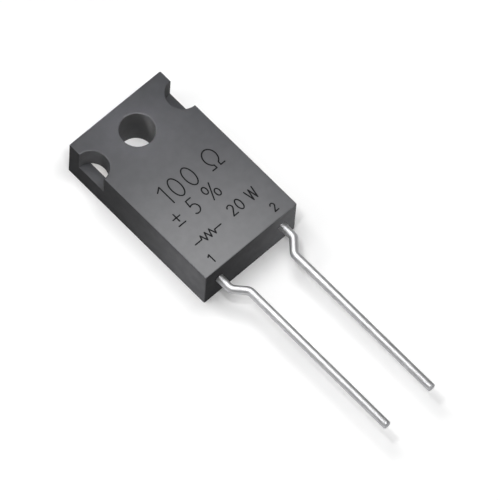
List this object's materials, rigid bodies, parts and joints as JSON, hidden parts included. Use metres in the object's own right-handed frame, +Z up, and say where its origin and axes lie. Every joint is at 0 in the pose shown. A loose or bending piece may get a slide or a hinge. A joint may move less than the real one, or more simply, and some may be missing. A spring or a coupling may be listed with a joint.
{
  "type": "thick film resistor",
  "caption": "Thick film power resistor in a flat moulded case with a screw hole, half-round side notches, a metal back plate for a heat sink, and round wire leads.",
  "frame": {"origin": "where the axis of the mounting hole meets the back face, which lies on the heat sink", "axes": "+Z up through the mounting hole and out of the marked face, +Y from the leads towards the mounting hole, +X across the case"},
  "size_m": [0.0104, 0.036, 0.0046],
  "materials": {
    "case_plastic": "fine-grained dark grey moulding compound",
    "nickel_plated_copper": "satin nickel plate",
    "tinned_wire": "bright tin plate",
    "solder": "satin solder",
    "alumina": "fired, unglazed white",
    "conductor_ink": "fired silver palladium print",
    "resistor_ink": "fired ruthenium oxide print",
    "overcoat_glass": "fired green glass print",
    "marking_ink": "matt black printed marking"
  },
  "bodies": {
    "root": {"moulded_case": "case_plastic", "mounting_plate": "nickel_plated_copper", "solder_foil": "solder", "ceramic_substrate": "alumina", "left_conductor": "conductor_ink", "right_conductor": "conductor_ink", "resistive_film": "resistor_ink", "glass_overcoat": "overcoat_glass", "left_lead": "tinned_wire", "right_lead": "tinned_wire", "left_solder_joint": "solder", "right_solder_joint": "solder"}
  },
  "joints": []
}
